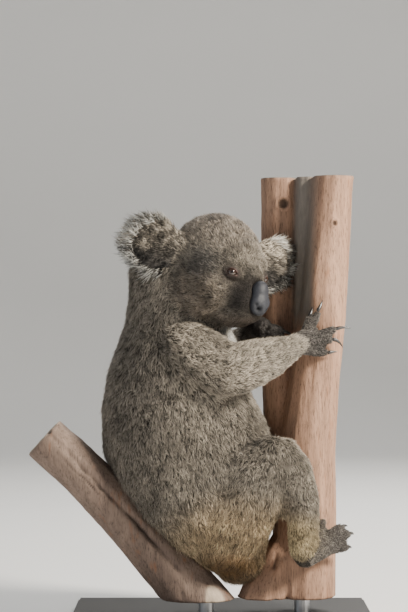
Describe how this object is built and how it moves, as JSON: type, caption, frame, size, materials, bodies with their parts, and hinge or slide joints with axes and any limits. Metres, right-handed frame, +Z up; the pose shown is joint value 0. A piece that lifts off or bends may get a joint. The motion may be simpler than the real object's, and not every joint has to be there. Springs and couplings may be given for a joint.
{
  "type": "koala, still life-size model on a cut gum-tree fork with a display stand",
  "caption": "Life-size still koala sitting in a cut tree fork, hugging the trunk with its head turned to its right, on a flat display stand.",
  "frame": {"origin": "centre of the stand's underside, on the floor", "axes": "+X the way the koala's body faces, +Y to its left, +Z up"},
  "size_m": [0.48, 0.3, 0.628],
  "materials": {
    "coat": "dense woolly grey-brown fur with pale tips",
    "paw_skin": "short dark fur over bare grey pads",
    "claw": "black horn with a soft shine",
    "eye": "wet dark brown",
    "nose": "slate grey leathery pad, slightly damp",
    "trunk_bark": "smooth pinkish-tan gum bark with cracks and grey dead wood",
    "branch_bark": "grey-brown bark with a lengthwise crack",
    "stand_board": "matt black paint",
    "rod_steel": "brushed"
  },
  "bodies": {
    "root": {"abdomen": "coat", "chest": "coat", "claw_foot_left_2": "claw", "claw_foot_left_3": "claw", "claw_foot_left_4": "claw", "claw_foot_right_2": "claw", "claw_foot_right_3": "claw", "claw_foot_right_4": "claw", "claw_hand_left_1": "claw", "claw_hand_left_2": "claw", "claw_hand_left_3": "claw", "claw_hand_left_4": "claw", "claw_hand_left_5": "claw", "claw_hand_right_1": "claw", "claw_hand_right_2": "claw", "claw_hand_right_3": "claw", "claw_hand_right_4": "claw", "claw_hand_right_5": "claw", "ear_left": "coat", "ear_right": "coat", "eye_left": "eye", "eye_right": "eye", "foot_left": "paw_skin", "foot_right": "paw_skin", "forearm_left": "coat", "forearm_right": "coat", "hand_left": "paw_skin", "hand_right": "paw_skin", "head": "coat", "neck": "coat", "nose": "nose", "perch_branch": "branch_bark", "perch_trunk": "trunk_bark", "rump": "coat", "shank_left": "coat", "shank_right": "coat", "stand_base": "stand_board", "stand_rod_1": "rod_steel", "stand_rod_2": "rod_steel", "thigh_left": "coat", "thigh_right": "coat", "upper_arm_left": "coat", "upper_arm_right": "coat"}
  },
  "joints": []
}
